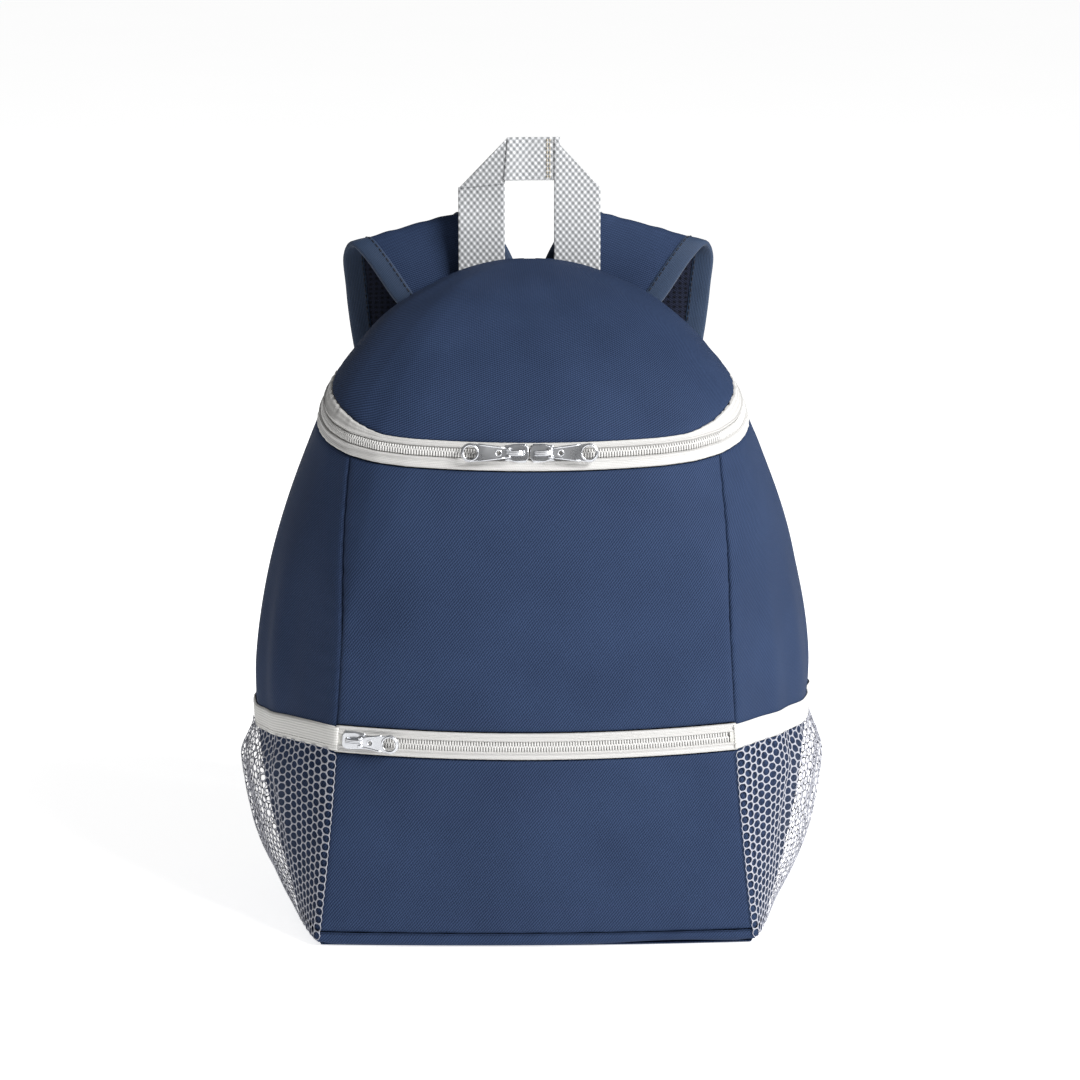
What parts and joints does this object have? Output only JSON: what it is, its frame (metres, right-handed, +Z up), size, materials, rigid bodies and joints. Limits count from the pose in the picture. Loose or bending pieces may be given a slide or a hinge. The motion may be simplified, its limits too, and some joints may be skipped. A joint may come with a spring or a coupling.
{
  "type": "school backpack",
  "caption": "Small rounded backpack with a domed zip lid, a zipped front pocket, mesh side pockets, a webbing top handle and padded shoulder straps.",
  "frame": {"origin": "on the floor under the middle of the base", "axes": "+Z up, -Y the front, +X to the right for a viewer who faces the front"},
  "size_m": [0.2988, 0.2057, 0.386],
  "materials": {
    "navy_fabric": "matte woven twill polyester",
    "navy_webbing": "flat woven strap webbing",
    "zip_tape": "woven zip tape",
    "zip_coil": "satin nylon coil",
    "grey_webbing": "coarse woven webbing",
    "mesh": "knitted hexagon net",
    "elastic": "ribbed elastic binding",
    "nickel": "bright nickel plate, lightly worn",
    "dark_plastic": "moulded black plastic",
    "lining": "thin coated liner with fine creases",
    "foam": "closed-cell foam sheet"
  },
  "bodies": {
    "bag": {"front_panel": "navy_fabric", "front_pocket_panel": "navy_fabric", "pocket_inner_wall": "lining", "gusset_left": "navy_fabric", "gusset_right": "navy_fabric", "back_panel": "navy_fabric", "back_foam": "foam", "base_panel": "navy_fabric", "base_board": "dark_plastic", "base_rim": "navy_fabric", "side_foam_left": "foam", "side_foam_right": "foam", "lining": "lining", "main_tape_lower": "zip_tape", "main_coil_lower": "zip_coil", "pocket_tape_upper": "zip_tape", "pocket_tape_lower": "zip_tape", "pocket_coil": "zip_coil", "pocket_zip_stops": "nickel", "mesh_pocket_left": "mesh", "mesh_pocket_right": "mesh", "pocket_band_left": "elastic", "pocket_band_right": "elastic", "handle_anchor": "grey_webbing", "strap_anchor": "navy_fabric", "strap_upper_left": "navy_fabric", "strap_upper_right": "navy_fabric", "webbing_tab_left": "navy_fabric", "webbing_tab_right": "navy_fabric", "lower_webbing_left": "navy_webbing", "lower_webbing_right": "navy_webbing"},
    "lid": {"lid_dome": "navy_fabric", "lid_foam": "foam", "lid_lining": "lining", "main_tape_upper": "zip_tape", "main_coil_upper": "zip_coil"},
    "handle": {"handle": "grey_webbing"},
    "main_slider_left": {"main_slider_left": "nickel"},
    "main_puller_left": {"main_puller_left": "nickel"},
    "main_slider_right": {"main_slider_right": "nickel"},
    "main_puller_right": {"main_puller_right": "nickel"},
    "pocket_slider": {"pocket_slider": "nickel"},
    "pocket_puller": {"pocket_puller": "nickel"},
    "strap_left": {"strap_pad_left": "navy_fabric", "strap_loop_left": "navy_webbing"},
    "ladder_lock_left": {"ladder_lock_left": "dark_plastic"},
    "strap_right": {"strap_pad_right": "navy_fabric", "strap_loop_right": "navy_webbing"},
    "ladder_lock_right": {"ladder_lock_right": "dark_plastic"}
  },
  "joints": [
    {"name": "lid_open", "type": "hinge", "parent": "bag", "child": "lid", "pos_m": [0, 0.0785, 0.3245], "axis": [-1, 0, 0], "range_deg": [0, 80]},
    {"name": "handle_swing", "type": "hinge", "parent": "bag", "child": "handle", "pos_m": [0, 0.08155, 0.3235], "axis": [-1, 0, 0], "range_deg": [-60, 4]},
    {"name": "main_slider_left_travel", "type": "hinge", "parent": "lid", "child": "main_slider_left", "pos_m": [0, 0.23561, 0.3228], "axis": [0, 0.2425, -0.9701], "range_deg": [0, 10.4]},
    {"name": "main_puller_left_flip", "type": "hinge", "parent": "main_slider_left", "child": "main_puller_left", "pos_m": [-0.0135, -0.06982, 0.24826], "axis": [0.0138, 0.2277, 0.9736], "range_deg": [0, 140]},
    {"name": "main_slider_right_travel", "type": "hinge", "parent": "lid", "child": "main_slider_right", "pos_m": [0, 0.23561, 0.3228], "axis": [0, -0.2425, 0.9701], "range_deg": [0, 11.6]},
    {"name": "main_puller_right_flip", "type": "hinge", "parent": "main_slider_right", "child": "main_puller_right", "pos_m": [0.00704, -0.07002, 0.24821], "axis": [0.0048, -0.228, -0.9737], "range_deg": [0, 140]},
    {"name": "pocket_slider_travel", "type": "hinge", "parent": "bag", "child": "pocket_slider", "pos_m": [0, 0.30084, 0.10415], "axis": [0, 0, 1], "range_deg": [0, 26.2]},
    {"name": "pocket_puller_flip", "type": "hinge", "parent": "pocket_slider", "child": "pocket_puller", "pos_m": [-0.08678, -0.08007, 0.10569], "axis": [-0.037, -0.0493, -0.9981], "range_deg": [0, 140]},
    {"name": "strap_left_swing", "type": "hinge", "parent": "bag", "child": "strap_left", "pos_m": [-0.0615, 0.098, 0.3365], "axis": [0.9725, 0, 0.2329], "range_deg": [0, 30], "deforming": ["lower_webbing_left"]},
    {"name": "ladder_lock_left_tilt", "type": "hinge", "parent": "strap_left", "child": "ladder_lock_left", "pos_m": [-0.078, 0.1, 0.097], "axis": [1, 0, 0], "range_deg": [0, 35]},
    {"name": "strap_right_swing", "type": "hinge", "parent": "bag", "child": "strap_right", "pos_m": [0.0615, 0.098, 0.3365], "axis": [0.9725, 0, -0.2329], "range_deg": [0, 30], "deforming": ["lower_webbing_right"]},
    {"name": "ladder_lock_right_tilt", "type": "hinge", "parent": "strap_right", "child": "ladder_lock_right", "pos_m": [0.078, 0.1, 0.097], "axis": [1, 0, 0], "range_deg": [0, 35]}
  ]
}
